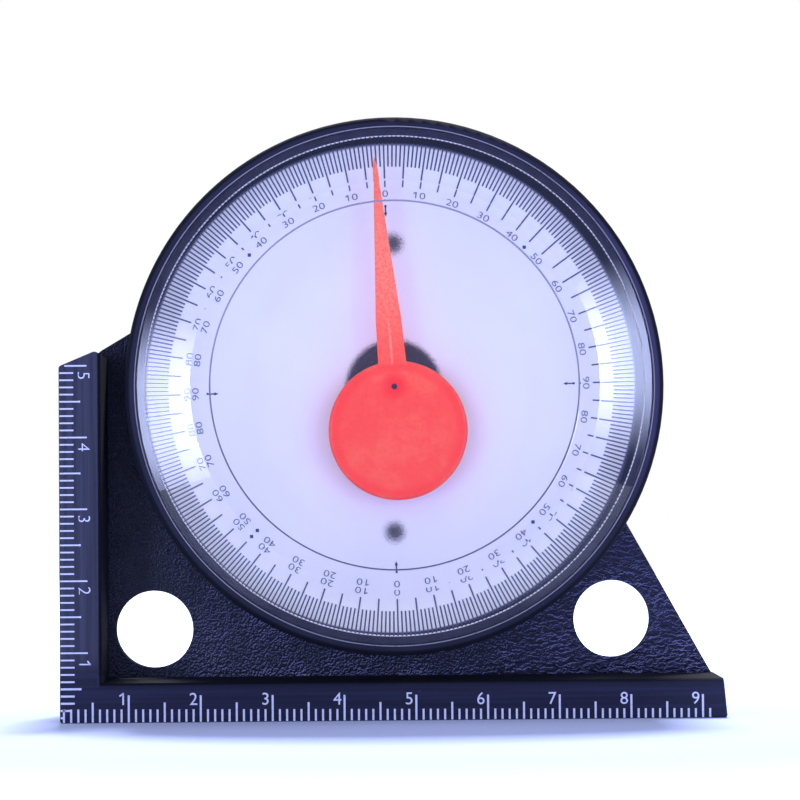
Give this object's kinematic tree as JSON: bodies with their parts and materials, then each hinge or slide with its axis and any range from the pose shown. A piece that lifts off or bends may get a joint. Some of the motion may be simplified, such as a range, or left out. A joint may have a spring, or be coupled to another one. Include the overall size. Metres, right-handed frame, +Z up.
{
  "type": "inclinometer",
  "caption": "Pocket inclinometer: weighted needle over a round degree dial behind a raised clear lens, in a black frame with ruler edges, round holes and a magnetic base.",
  "frame": {"origin": "middle of the whole depth and length, on the underside of the base that it stands on", "axes": "+Z up, dial facing -Y, +X to the right as seen from the dial side; the side ruler is on the -X edge"},
  "size_m": [0.093, 0.0264, 0.0844],
  "materials": {
    "frame_plastic": "satin black moulding, leather grain on the web",
    "cover_plastic": "fine-grained black moulding",
    "screw_steel": "zinc-plated",
    "lens_clear": "polished clear moulding",
    "seal_rubber": "matte",
    "dial_white": "translucent white sheet",
    "adhesive": "cured glue",
    "dial_ink": "screen-printed ink",
    "index_ink": "screen-printed ink",
    "pin_steel": "ground",
    "washer_nylon": "plain nylon",
    "pointer_red": "bright red translucent moulding",
    "weight_steel": "turned",
    "bush_brass": "turned",
    "ruler_ink": "hot-stamped white foil",
    "magnet_ferrite": "ground ferrite",
    "backing_steel": "zinc-plated"
  },
  "bodies": {
    "body": {"frame": "frame_plastic", "rear_cover": "cover_plastic", "rear_cover_screws": "screw_steel", "lens": "lens_clear", "lens_seal": "seal_rubber", "dial_plate": "dial_white", "dial_adhesive_pads": "adhesive", "dial_degree_marks": "dial_ink", "dial_index_marks": "index_ink", "pivot_pin": "pin_steel", "thrust_washer": "washer_nylon", "bottom_ruler_marks": "ruler_ink", "left_ruler_marks": "ruler_ink", "base_magnets": "magnet_ferrite", "magnet_backing_plates": "backing_steel"},
    "pointer": {"pointer": "pointer_red", "pointer_weight": "weight_steel", "pointer_bush": "bush_brass"}
  },
  "joints": [
    {"name": "pointer_swing", "type": "hinge", "parent": "body", "child": "pointer", "pos_m": [0.0004, -0.004, 0.0467], "axis": [0, -1, 0], "continuous": true}
  ]
}
